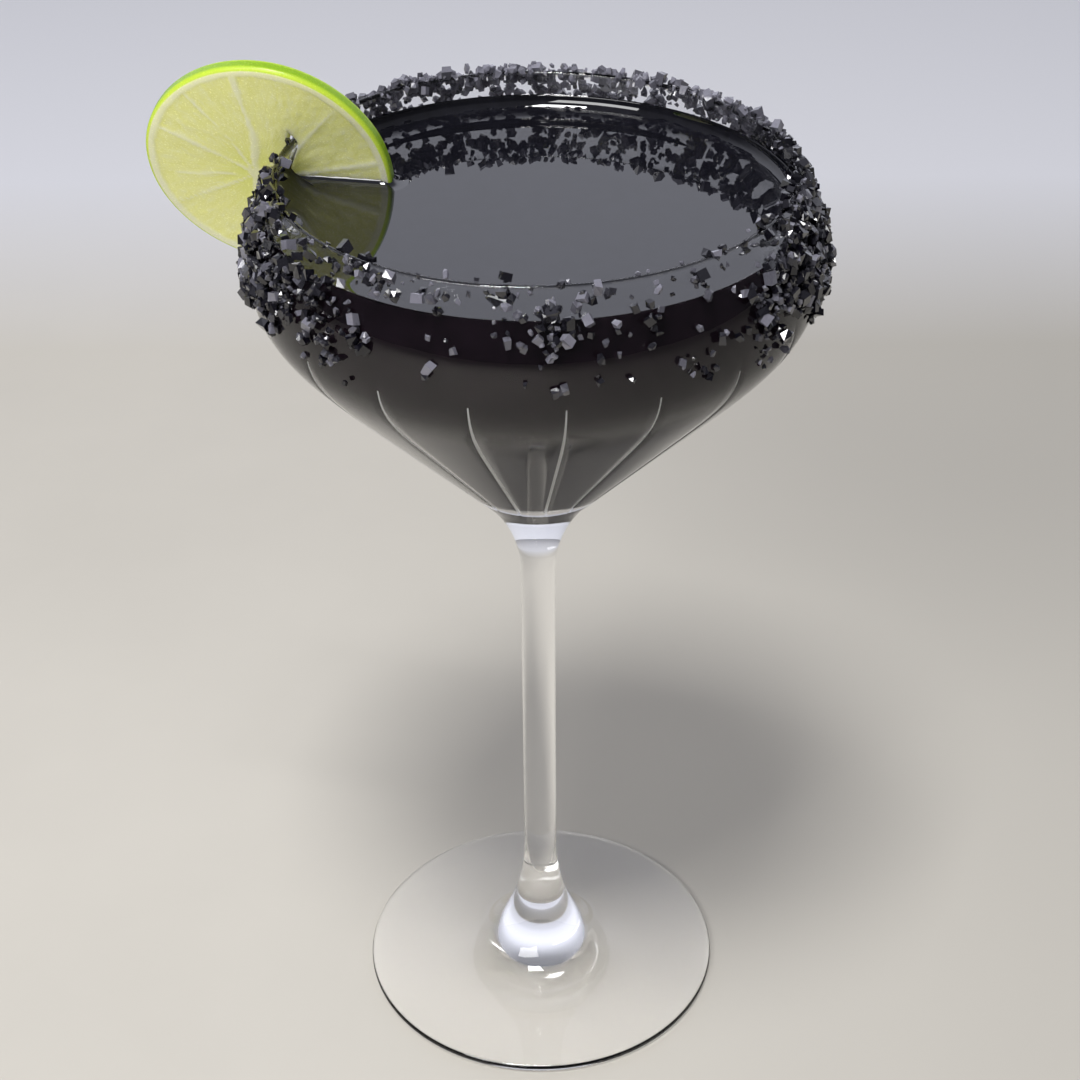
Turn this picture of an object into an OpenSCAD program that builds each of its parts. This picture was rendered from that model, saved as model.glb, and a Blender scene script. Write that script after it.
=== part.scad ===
// Margarita in a stemmed coupe: clear glass with fine cut lines, black drink, lime wheel and black salt on the rim.
// Millimetres, +Z up, the middle of the foot's underside at the origin, the front of the drink toward -Y.

/* [Glass] */
// Height of the glass from the table to the top of the rim
glass_h = 180; // [150:1:210]
// Diameter of the foot
foot_d = 72.3; // [60:0.1:90]
// Thickness of the foot at its rounded edge
foot_edge_h = 1.6; // [1:0.1:4]
// Diameter of the stem at its thinnest
stem_d = 6.6; // [5:0.1:12]
// Height where the stem starts to widen into the bowl
neck_z = 98; // [80:1:120]
// Height where the neck meets the straight cone of the bowl
cone_z = 115; // [105:1:130]
// Radius of the bowl where the straight cone starts
cone_r = 10.35; // [8:0.1:16]
// How much the cone's radius grows per millimetre of height
cone_slope = 0.95; // [0.5:0.01:1.6]
// Height where the cone turns into the rounded shoulder
shoulder_z = 140; // [130:1:155]
// Height of the bowl's widest ring
belly_z = 163.5; // [150:0.5:175]
// Diameter of the bowl's widest ring
belly_d = 99; // [85:0.5:120]
// Outer diameter of the rim
rim_d = 89.3; // [75:0.1:110]
// Wall thickness at the rim
rim_wall = 1.1; // [0.8:0.05:2]
// Wall thickness low in the bowl
bowl_wall = 1.6; // [1:0.05:3]
// Height of the lowest point inside the bowl
bottom_z = 118.9; // [110:0.1:130]
// Reach of the gently dished middle of the bottom
bottom_r = 11; // [3:0.1:12]
// Rise of the dish over that reach
bottom_rise = 0.9; // [0:0.1:3]
// Rise from the bottom to the straight wall
bottom_lift = 5; // [1:0.1:6]

/* [Cut lines] */
// Number of fine cut lines round the bowl
line_count = 20; // [8:1:36]
// Width of a cut line
line_w = 0.8; // [0.3:0.1:2]
// Depth of a cut line
line_depth = 0.25; // [0.1:0.05:0.6]
// Height where the cut lines start
line_low_z = 120; // [118:0.5:135]
// Height where the cut lines end
line_top_z = 164; // [150:0.5:170]
// Turn of the first cut line from the front
line_turn = 5.5; // [0:0.5:18]

/* [Drink] */
// Height of the flat drink surface
level_z = 171.4; // [150:0.1:178]
// Height the drink climbs on the glass wall
climb_h = 3.4; // [0.5:0.1:4]
// Width of the ring where the drink curves up to the wall
climb_w = 6; // [2:0.5:8]

/* [Lime wheel] */
// Diameter of the lime wheel
lime_d = 45; // [35:0.1:60]
// Thickness of the lime wheel
lime_t = 2.8; // [2:0.1:8]
// Rounding of the rind's edges
lime_edge = 0.6; // [0.2:0.1:1.5]
// Middle of the lime wheel, across
lime_x = -47; // [-55:0.1:-38]
// Middle of the lime wheel, front to back
lime_y = 17.5; // [0:0.1:30]
// Middle of the lime wheel, height
lime_z = 173; // [160:0.1:185]
// Lean of the wheel's top toward the front
lime_lean = 16.7; // [0:0.1:40]
// Turn of the wheel's face toward the left
lime_turn = 10.5; // [-30:0.5:40]
// Width of the knife cut above the rim
slit_w = 0.5; // [0.2:0.1:2]
// Length of the knife cut above the rim
slit_l = 5; // [0:0.5:10]

/* [Salt] */
// Thickness of the salt crust on the wall
salt_t = 1.5; // [0.8:0.1:3]
// Height of the crust above the rim
salt_over = 0.8; // [0.2:0.1:2]
// Number of steps in the crust's lower edge
salt_steps = 24; // [12:2:36]
// Side of a coarse salt crystal
crystal_s = 2.0; // [1:0.1:3]
// Number of crystals standing out of the crust
crystal_n = 96; // [24:4:160]

/* [Hidden] */
$fn = 96;
foot_r = foot_d / 2;
stem_r = stem_d / 2;
belly_r = belly_d / 2;
rim_r = rim_d / 2;
bead_r = rim_wall / 2;
bead_z = glass_h - bead_r;
shoulder_r = cone_r + cone_slope * (shoulder_z - cone_z);
climb_z = level_z + climb_h;

function bez(p, n) = [for (i = [0:n]) let (t = i / n, s = 1 - t)
    s * s * s * p[0] + 3 * s * s * t * p[1] + 3 * s * t * t * p[2] + t * t * t * p[3]];
function tail(v) = [for (i = [1:len(v) - 1]) v[i]];
function flip(v) = [for (i = [len(v) - 1:-1:0]) v[i]];

// rounded edge of the foot, its gentle top and the trumpet up to the stem
edge_pts = [for (a = [-90:22.5:90]) [foot_r - foot_edge_h / 2 + foot_edge_h / 2 * cos(a),
    foot_edge_h / 2 + foot_edge_h / 2 * sin(a)]];
foot_pts = bez([[foot_r - foot_edge_h / 2, foot_edge_h], [28, 2.4], [20.5, 2.7], [14.6, 4.2]], 6);
trumpet_pts = bez([[14.6, 4.2], [10, 5.6], [4.9, 11], [stem_r, 27]], 9);
neck_pts = bez([[stem_r, neck_z], [stem_r, neck_z + 7.5],
    [cone_r - 3.3 * cone_slope, cone_z - 3.3], [cone_r, cone_z]], 8);

// the bowl: straight cone, shoulder and the wall turning in to the rim
cone_pts = [for (i = [0:3]) let (z = cone_z + (shoulder_z - cone_z) * i / 3)
    [cone_r + cone_slope * (z - cone_z), z]];
shoulder_pts = bez([[shoulder_r, shoulder_z], [shoulder_r + 12.2 * cone_slope, shoulder_z + 12.2],
    [belly_r, belly_z - 7.5], [belly_r, belly_z]], 9);
incurve_pts = bez([[belly_r, belly_z], [belly_r, belly_z + 6], [rim_r + 2.5, bead_z - 4.8], [rim_r, bead_z]], 6);
bowl_pts = concat(cone_pts, tail(shoulder_pts), tail(incurve_pts));

// the inside of the wall, set in square to the outside
function wall_at(z) = bowl_wall + (rim_wall - bowl_wall) * min(1, max(0, (z - shoulder_z) / (glass_h - shoulder_z)));
function unit(v) = v / norm(v);
function side_of(v, i) = unit(v[min(i + 1, len(v) - 1)] - v[max(i - 1, 0)]);
function inset(v, i, d) = [v[i][0] - d * side_of(v, i)[1], v[i][1] + d * side_of(v, i)[0]];
wall_pts = [for (i = [0:len(bowl_pts) - 1]) inset(bowl_pts, i, wall_at(bowl_pts[i][1]))];
inner_wall = [for (p = wall_pts) if (p[1] > bottom_z + bottom_lift + 0.8 && p[1] < bead_z - 0.5) p];
inner_foot = [cone_r + cone_slope * (bottom_z + bottom_lift - cone_z) - bowl_wall * sqrt(1 + cone_slope * cone_slope),
    bottom_z + bottom_lift];
bottom_knee = 0.32 * bottom_lift;
bottom_pts = bez([[0, bottom_z], [bottom_r, bottom_z + bottom_rise],
    [inner_foot[0] - bottom_knee * cone_slope, inner_foot[1] - bottom_knee], inner_foot], 7);
inner_pts = concat(bottom_pts, inner_wall, [[rim_r - rim_wall, bead_z]]);
bead_pts = [for (a = [0:30:180]) [rim_r - bead_r + bead_r * cos(a), bead_z + bead_r * sin(a)]];

outer_pts = concat([[0, 0]], edge_pts, tail(foot_pts), tail(trumpet_pts), neck_pts, tail(bowl_pts));
function outer_r(z) = lookup(z, [for (p = bowl_pts) [p[1], p[0]]]);
function inner_r(z) = lookup(z, [for (p = inner_pts) [p[1], p[0]]]);

module glass_blank() {
    rotate_extrude()
        polygon(concat(outer_pts, tail(bead_pts), tail(flip(inner_pts))));
}

// one thin blade that cuts a line down the outside of the bowl
module line_blade() {
    heights = [for (z = [line_low_z:(line_top_z - line_low_z) / 12:line_top_z + 0.01]) z];
    rotate([90, 0, 0])
        linear_extrude(line_w, center = true)
            polygon(concat([for (z = heights) [outer_r(z) - line_depth, z]],
                flip([for (z = heights) [outer_r(z) + 1, z]])));
}

module glass() {
    color([0.86, 0.92, 0.94, 0.35])
        difference() {
            glass_blank();
            for (i = [0:line_count - 1])
                rotate([0, 0, line_turn - 90 + i * 360 / line_count])
                    line_blade();
        }
}

// the drink as a full turn, before the lime is taken out of it
module drink_body() {
    wet_pts = [for (p = inner_pts) if (p[1] < climb_z - 0.2) p];
    climb_r = inner_r(climb_z);
    surface_pts = bez([[climb_r, climb_z], [climb_r - 0.1, level_z + 0.9],
        [climb_r - climb_w * 0.4, level_z], [climb_r - climb_w, level_z]], 6);
    rotate_extrude()
        polygon(concat(wet_pts, surface_pts, [[0, level_z]]));
}

module drink() {
    color([0.05, 0.05, 0.06])
        difference() {
            drink_body();
            lime_disc();
        }
}

// stands the flat wheel up at its place on the rim
module at_lime() {
    translate([lime_x, lime_y, lime_z])
        rotate([90 + lime_lean, 0, -lime_turn])
            children();
}

module lime_disc() {
    r = lime_d / 2;
    h = lime_t / 2;
    e = lime_edge;
    at_lime()
        rotate_extrude()
            polygon([[0, -h], [r - e, -h], [r - 0.25 * e, -h + 0.3 * e], [r, -h + e],
                [r, h - e], [r - 0.25 * e, h - 0.3 * e], [r - e, h], [0, h]]);
}

// the glass wall with its crust, as the room the slit in the lime opens for
module slit_ring() {
    wall_side = [for (p = inner_pts) if (p[1] > 140) p];
    crust_side = [for (p = bowl_pts) if (p[1] > 139) [p[0] + salt_t, p[1]]];
    rotate_extrude()
        polygon(concat(wall_side, [[rim_r - rim_wall, glass_h + salt_over], [rim_r + salt_t, glass_h + salt_over]],
            flip(crust_side)));
}

module lime_wheel() {
    rim_turn = 161;
    color([0.72, 0.8, 0.3])
        difference() {
            lime_disc();
            slit_ring();
            translate([rim_r * cos(rim_turn), rim_r * sin(rim_turn), glass_h])
                rotate([0, 12, 0])
                    translate([-slit_w / 2, -8, -2])
                        cube([slit_w, 16, slit_l + 2]);
        }
}

// lower edge of the crust: deep at the sides and the back, thin along the front
function crust_depth(a) = 4 + 12.5 * pow(abs(sin(a)), 1.5) + 2.5 * (1 - cos(a))
    + 0.7 * sin(5 * a) + 0.5 * sin(11 * a + 40);

// one stretch of crust: from angle a on, this wide, this deep and this thick
module crust_patch(a, wide, deep, thick, keyed) {
    heights = [for (k = [0:4]) glass_h - deep + (bead_z - glass_h + deep) * k / 4];
    rotate([0, 0, a - 90])
        rotate_extrude(angle = wide)
            polygon(concat([for (z = heights) [outer_r(z) - keyed, z]],
                [[rim_r - keyed, glass_h + salt_over * thick / salt_t],
                [rim_r + thick * 0.7, glass_h + salt_over * thick / salt_t]],
                flip([for (z = heights) [outer_r(z) + thick, z]])));
}

module crust_band() {
    turn = (360 - 52) / (salt_steps / 2);
    crust_patch(0, 360, 3.2, salt_t * 0.7, 0.3);
    for (i = [0:salt_steps / 2 - 1])
        let (a = 26 + i * turn)
            crust_patch(a, turn - 2.4 - 0.9 * (i % 3), max(4, crust_depth(a + 8)),
                salt_t * (0.87 + 0.011 * i), 0.45 + 0.02 * i);
}

module crystals() {
    turns = rands(0, 90, crystal_n * 3, 11);
    drops = rands(0.1, 1, crystal_n, 23);
    for (i = [0:crystal_n - 1]) {
        a = i * 360 / crystal_n;
        z = glass_h - 0.4 - drops[i] * max(2, crust_depth(a) - 1);
        near_lime = abs(a - 251) < 13;
        if (!near_lime)
            rotate([0, 0, a - 90])
                translate([outer_r(min(z, bead_z)) + salt_t * 0.55, 0, z])
                    rotate([turns[i], turns[crystal_n + i], turns[2 * crystal_n + i]])
                        cube(crystal_s * (0.75 + 0.35 * drops[crystal_n - 1 - i]), center = true);
    }
}

module salt_rim() {
    color([0.12, 0.11, 0.15])
        difference() {
            union() {
                crust_band();
                crystals();
            }
            rotate_extrude()
                polygon(concat([[0, 130]], [for (p = bowl_pts) if (p[1] > 139) p], tail(bead_pts),
                    [[rim_r - rim_wall, glass_h + 5], [0, glass_h + 5]]));
        }
}

glass();
drink();
lime_wheel();
salt_rim();
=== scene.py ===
"""A black margarita in a stemmed coupe: cut glass, drink, lime wheel and a crust of coarse black salt."""
import logging
import math
from dataclasses import dataclass, field
from enum import Enum
from typing import Iterable, Sequence

import bmesh
import bpy
import numpy as np
from mathutils import Matrix, Vector, noise


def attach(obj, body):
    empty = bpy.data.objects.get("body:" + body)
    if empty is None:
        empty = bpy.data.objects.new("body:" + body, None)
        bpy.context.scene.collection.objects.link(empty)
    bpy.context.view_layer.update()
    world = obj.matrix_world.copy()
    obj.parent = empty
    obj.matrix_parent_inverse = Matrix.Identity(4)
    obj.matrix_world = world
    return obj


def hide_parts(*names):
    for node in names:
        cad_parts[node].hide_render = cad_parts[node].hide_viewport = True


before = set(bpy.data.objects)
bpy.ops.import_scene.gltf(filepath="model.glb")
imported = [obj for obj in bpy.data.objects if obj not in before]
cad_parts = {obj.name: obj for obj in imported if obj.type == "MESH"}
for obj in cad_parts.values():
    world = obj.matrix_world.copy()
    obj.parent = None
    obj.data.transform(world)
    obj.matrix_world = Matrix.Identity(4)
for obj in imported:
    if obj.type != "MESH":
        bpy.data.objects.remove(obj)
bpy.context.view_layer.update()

MM = 0.001
WELD = 1e-6  # points closer than this, in metres, are one
BODY = "root"
LOG = logging.getLogger("margarita")

Point2 = tuple[float, float]
Colour = tuple[float, float, float]
Span = tuple[float, float]
Socket = bpy.types.NodeSocket


# ---------------------------------------------------------------- helpers

def bezier(points: Sequence[Point2], steps: int) -> list[Point2]:
    """Points along one cubic curve.

    Args:
        points: the four control points (radius, height), in millimetres.
        steps: how many stretches the curve is cut into.

    Returns:
        steps + 1 points from the first control point to the last.
    """
    table = np.array(points, float)
    t = np.linspace(0.0, 1.0, steps + 1)[:, None]
    s = 1.0 - t
    curve = s ** 3 * table[0] + 3 * s * s * t * table[1] + 3 * s * t * t * table[2] + t ** 3 * table[3]
    return [(float(r), float(z)) for r, z in curve]


def smoothstep(low: float, high: float, value: float) -> float:
    """Smooth rise from 0 at low to 1 at high."""
    t = min(1.0, max(0.0, (value - low) / (high - low)))
    return t * t * (3.0 - 2.0 * t)


def wave(x: float, y: float, z: float) -> float:
    """Smooth noise from about -1 to 1 at a point in space."""
    return noise.noise(Vector((x, y, z)))


def shade(colour: Colour, share: float) -> Colour:
    """A colour with each channel multiplied by a share."""
    return tuple(c * share for c in colour)


class NodeMaker:
    """Adds nodes to one tree, a few calls at a time."""

    tree: bpy.types.NodeTree

    def node(self, kind: str, inputs: dict | None = None, **settings: object) -> bpy.types.Node:
        """Adds one node.

        Args:
            kind: the node's type name.
            inputs: input name or number to a socket or a plain value.
            settings: the node's own properties.

        Returns:
            The new node.
        """
        made = self.tree.nodes.new(kind)
        for key, value in settings.items():
            setattr(made, key, value)
        for key, value in (inputs or {}).items():
            self.feed(made.inputs[key], value)
        return made

    def feed(self, socket: Socket, value: object) -> None:
        """Links a socket, or sets it to a plain value.

        Args:
            socket: the input to fill.
            value: an output socket or a plain value.
        """
        if isinstance(value, bpy.types.NodeSocket):
            self.tree.links.new(value, socket)
        else:
            socket.default_value = value

    def math(self, operation: str, *values: object, clamp: bool = False) -> Socket:
        """Adds a math node.

        Args:
            operation: the node's operation.
            values: one to three sockets or numbers.
            clamp: whether the result is kept between 0 and 1.

        Returns:
            The node's output.
        """
        made = self.node("ShaderNodeMath", operation=operation, use_clamp=clamp)
        for place, value in enumerate(values):
            self.feed(made.inputs[place], value)
        return made.outputs[0]


class TreeMaker(NodeMaker):
    """Builds one geometry node tree."""

    def __init__(self, name: str) -> None:
        """Starts an empty tree with a geometry input and output."""
        self.tree = bpy.data.node_groups.new(name, "GeometryNodeTree")
        for way in ("INPUT", "OUTPUT"):
            self.tree.interface.new_socket("Geometry", in_out=way, socket_type="NodeSocketGeometry")
        self.inlet = self.tree.nodes.new("NodeGroupInput")
        self.outlet = self.tree.nodes.new("NodeGroupOutput")

    def add_input(self, name: str, kind: str) -> Socket:
        """Adds a named input of that socket type and returns its socket."""
        self.tree.interface.new_socket(name, in_out="INPUT", socket_type=kind)
        return self.inlet.outputs[name]

    def finish(self, geometry: Socket) -> bpy.types.GeometryNodeTree:
        """Links the result to the output and returns the tree."""
        self.tree.links.new(geometry, self.outlet.inputs["Geometry"])
        return self.tree


def stand_up(name: str, mesh: bpy.types.Mesh) -> bpy.types.Object:
    """Puts a mesh in the scene as a new object at the origin.

    Args:
        name: name of the object.
        mesh: its mesh, in place already.

    Returns:
        The new object.
    """
    piece = bpy.data.objects.new(name, mesh)
    bpy.context.scene.collection.objects.link(piece)
    return piece


def run_tree(name: str, host: bpy.types.Mesh, tree: bpy.types.GeometryNodeTree,
             values: dict) -> bpy.types.Object:
    """Runs a node tree on a mesh and keeps the result as a plain mesh.

    Args:
        name: name of the new piece.
        host: the mesh the tree starts from.
        tree: the geometry node tree.
        values: input name to value.

    Returns:
        A new object at the origin with no modifier.
    """
    holder = stand_up(name + "_host", host)
    modifier = holder.modifiers.new("make", "NODES")
    modifier.node_group = tree
    for item in tree.interface.items_tree:
        if item.item_type == "SOCKET" and item.in_out == "INPUT" and item.name in values:
            modifier[item.identifier] = values[item.name]
    graph = bpy.context.evaluated_depsgraph_get()
    mesh = bpy.data.meshes.new_from_object(holder.evaluated_get(graph), depsgraph=graph)
    holder.modifiers.remove(modifier)
    bpy.data.objects.remove(holder)
    mesh.name = name
    return stand_up(name, mesh)


def mesh_from(name: str, points: np.ndarray, faces: Iterable[Sequence[int]]) -> bpy.types.Mesh:
    """Makes a mesh.

    Args:
        name: name of the mesh.
        points: its points, in millimetres.
        faces: point numbers of each face.

    Returns:
        The mesh, in metres.
    """
    mesh = bpy.data.meshes.new(name)
    mesh.from_pydata((np.asarray(points, float) * MM).tolist(), [], [tuple(f) for f in faces])
    mesh.update()
    return mesh


def set_floats(mesh: bpy.types.Mesh, name: str, values: Sequence[float]) -> None:
    """Stores one number per point on a mesh."""
    layer = mesh.attributes.new(name, "FLOAT", "POINT")
    layer.data.foreach_set("value", np.asarray(values, np.float32))


def face_outward(mesh: bpy.types.Mesh, merge: bool = True) -> None:
    """Turns every face of a mesh outward.

    Args:
        mesh: the mesh, changed in place.
        merge: whether doubled points are merged first.
    """
    work = bmesh.new()
    work.from_mesh(mesh)
    if merge:
        bmesh.ops.remove_doubles(work, verts=work.verts, dist=WELD)
        bmesh.ops.dissolve_degenerate(work, dist=WELD * 0.1, edges=work.edges)
    bmesh.ops.recalc_face_normals(work, faces=work.faces)
    work.to_mesh(mesh)
    work.free()
    mesh.update()


def smooth_faces(mesh: bpy.types.Mesh, smooth: bool = True) -> None:
    """Shades a whole mesh smooth or flat."""
    mesh.polygons.foreach_set("use_smooth", [smooth] * len(mesh.polygons))
    mesh.update()


def hand_over(piece: bpy.types.Object, slot: str, *nodes: str) -> None:
    """Rides a finished piece on the body and reports it.

    Args:
        piece: the piece.
        slot: not used.
        nodes: the nodes it stands for, if any.
    """
    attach(piece, BODY)
    if nodes:
        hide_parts(*nodes)
    LOG.info("%s: %d faces", piece.name, len(piece.data.polygons))


# ---------------------------------------------------------------- finishes

class Painter(NodeMaker):
    """Builds one material's node tree."""

    def __init__(self, name: str) -> None:
        """Starts a material with one Principled shader."""
        self.material = bpy.data.materials.new(name)
        self.material.use_nodes = True
        self.tree = self.material.node_tree
        self.shader = self.tree.nodes["Principled BSDF"]

    def mottle(self, scale: float, detail: float, low: tuple[float, Colour],
               high: tuple[float, Colour]) -> Socket:
        """A colour that varies softly over the surface.

        Args:
            scale: how fine the variation is.
            detail: how many finer layers it has.
            low: where on the ramp the first colour ends, and that colour.
            high: where the second colour starts, and that colour.

        Returns:
            The colour.
        """
        cloud = self.node("ShaderNodeTexNoise", {"Scale": scale, "Detail": detail})
        return self.ramp(cloud.outputs["Fac"], [low, high])

    def ramp(self, value: Socket, stops: Sequence[tuple[float, Colour]]) -> Socket:
        """Adds a colour ramp.

        Args:
            value: what runs along the ramp.
            stops: places from 0 to 1, each with its colour.

        Returns:
            The ramp's colour.
        """
        made = self.node("ShaderNodeValToRGB", {"Fac": value})
        elements = made.color_ramp.elements
        while len(elements) < len(stops):
            elements.new(0.5)
        for element, (place, colour) in zip(elements, stops):
            element.position = place
            element.color = (*colour, 1.0)
        return made.outputs["Color"]

    def mix(self, factor: object, first: object, second: object) -> Socket:
        """Mixes two colours.

        Args:
            factor: the second colour's share, a socket or a number.
            first: a colour or a socket.
            second: a colour or a socket.

        Returns:
            The mixed colour.
        """
        made = self.node("ShaderNodeMix", data_type="RGBA")
        self.feed(made.inputs["Factor"], factor)
        for name, value in (("A", first), ("B", second)):
            socket = [s for s in made.inputs if s.name == name and s.type == "RGBA"][0]
            self.feed(socket, value if isinstance(value, bpy.types.NodeSocket) else (*value, 1.0))
        return [s for s in made.outputs if s.type == "RGBA"][0]

    def between(self, value: Socket, low: float, high: float, last: float = 1.0) -> Socket:
        """Maps a value: 0 at low, last at high.

        Args:
            value: the value to map.
            low: where the result starts to rise.
            high: where the result is full.
            last: the full result.

        Returns:
            The mapped value.
        """
        made = self.node("ShaderNodeMapRange", {"Value": value, "From Min": low, "From Max": high,
                                                "To Max": last})
        return made.outputs["Result"]

    def mask(self, name: str) -> Socket:
        """A number stored on the mesh under that name."""
        return self.node("ShaderNodeAttribute", attribute_name=name).outputs["Fac"]

    def set(self, **values: object) -> None:
        """Sets or links the Principled shader's own inputs; underscores stand for spaces."""
        for key, value in values.items():
            self.feed(self.shader.inputs[key.replace("_", " ")], value)

    def bump(self, height: Socket, strength: float, distance: float) -> None:
        """Adds a fine bump to the shader's normal."""
        made = self.node("ShaderNodeBump", {"Height": height, "Strength": strength, "Distance": distance})
        self.feed(self.shader.inputs["Normal"], made.outputs["Normal"])


@dataclass(frozen=True)
class ClearGlass:
    """Polished clear glass; each wall lets a share of the lamps' light straight through."""

    tint: Colour = (1.0, 1.0, 1.0)
    index: float = 1.5
    let_through: float = 0.36
    speck_scale: float = 60.0
    haze: float = 0.006

    def make(self) -> bpy.types.Material:
        """Makes the finish.

        Returns:
            Its material.
        """
        paint = Painter("clear_glass")
        speck = paint.node("ShaderNodeTexNoise", {"Scale": self.speck_scale, "Detail": 2.0})
        rough = paint.math("MULTIPLY", speck.outputs["Fac"], self.haze)
        paint.set(Base_Color=(*self.tint, 1.0), Roughness=rough, IOR=self.index, Transmission_Weight=1.0)
        share = self.let_through
        clear = paint.node("ShaderNodeBsdfTransparent", {"Color": (share, share, share, 1.0)})
        lamp_ray = paint.node("ShaderNodeLightPath").outputs["Is Shadow Ray"]
        either = paint.node("ShaderNodeMixShader",
                            {0: lamp_ray, 1: paint.shader.outputs[0], 2: clear.outputs[0]})
        paint.feed(paint.tree.nodes["Material Output"].inputs["Surface"], either.outputs[0])
        return paint.material


@dataclass(frozen=True)
class CutGlass:
    """The ground floor of a cut line: white and matt."""

    colour: Colour = (0.80, 0.81, 0.80)
    darker: float = 0.8
    grain: float = 1800.0
    index: float = 1.5
    roughness: float = 0.45
    clearness: float = 0.45

    def make(self) -> bpy.types.Material:
        """Makes the finish.

        Returns:
            Its material.
        """
        paint = Painter("cut_line_glass")
        tone = paint.mottle(self.grain, 3.0, (0.3, shade(self.colour, self.darker)), (0.7, self.colour))
        paint.set(Base_Color=tone, Roughness=self.roughness, IOR=self.index,
                  Transmission_Weight=self.clearness)
        return paint.material


@dataclass(frozen=True)
class BlackDrink:
    """The open surface of the drink: black under a mirror-smooth skin."""

    name: str = "black_drink"
    colour: Colour = (0.004, 0.004, 0.006)
    paler: float = 1.8
    haze_scale: float = 40.0
    index: float = 1.6
    roughness: float = 0.012

    def make(self) -> bpy.types.Material:
        """Makes the finish.

        Returns:
            Its material.
        """
        paint = Painter(self.name)
        tone = paint.mottle(self.haze_scale, 3.0, (0.3, self.colour), (0.8, shade(self.colour, self.paler)))
        paint.set(Base_Color=tone, Roughness=self.roughness, IOR=self.index)
        return paint.material


@dataclass(frozen=True)
class DrinkAtWall:
    """The drink where it wets the glass: black, but a full mirror at grazing angles."""

    colour: Colour = (0.006, 0.0035, 0.0055)
    paler: float = 1.5
    haze_scale: float = 25.0
    mirror_from: float = 0.555
    mirror_full: float = 0.585
    mirror: Colour = (0.80, 0.79, 0.79)
    index: float = 1.05
    roughness: float = 0.03

    def make(self) -> bpy.types.Material:
        """Makes the finish.

        Returns:
            Its material.
        """
        paint = Painter("drink_at_wall")
        tone = paint.mottle(self.haze_scale, 2.0, (0.3, self.colour), (0.8, shade(self.colour, self.paler)))
        graze = paint.node("ShaderNodeLayerWeight", {"Blend": 0.5})
        share = paint.between(graze.outputs["Facing"], self.mirror_from, self.mirror_full)
        paint.set(Base_Color=paint.mix(share, tone, self.mirror), Metallic=share)
        paint.set(Roughness=self.roughness, IOR=self.index)
        return paint.material


@dataclass(frozen=True)
class BlackSalt:
    """Coarse black salt: dark violet glassy grains, some of them paler at random, and paler toward the front
    and back of the rim as painted light.
    """

    dark: Colour = (0.004, 0.0035, 0.007)
    pale: Colour = (0.27, 0.265, 0.32)
    pale_share: float = 0.12
    frost_scale: float = 900.0
    index: float = 1.54
    clearness: float = 0.30
    coat: float = 0.4
    coat_roughness: float = 0.05

    def make(self) -> bpy.types.Material:
        """Makes the finish.

        Returns:
            Its material.
        """
        paint = Painter("black_salt")
        frost = paint.node("ShaderNodeTexNoise", {"Scale": self.frost_scale, "Detail": 4.0}).outputs["Fac"]
        # the tone mask is random tone plus painted light: crystals toward the front and back of the rim are
        # paler, as if lit
        level = paint.math("MULTIPLY_ADD", frost, 0.5, paint.math("MULTIPLY", paint.mask("tone"), 0.75))
        share = self.pale_share
        middle = tuple((1.0 - share) * d + share * p for d, p in zip(self.dark, self.pale))
        colour = paint.ramp(level, [(0.35, self.dark), (0.70, middle), (1.0, self.pale)])
        rough = paint.math("MULTIPLY_ADD", frost, 0.30, -0.04, clamp=True)
        paint.set(Base_Color=colour, Roughness=rough, IOR=self.index, Transmission_Weight=self.clearness)
        paint.set(Coat_Weight=self.coat, Coat_Roughness=self.coat_roughness)
        return paint.material


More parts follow.
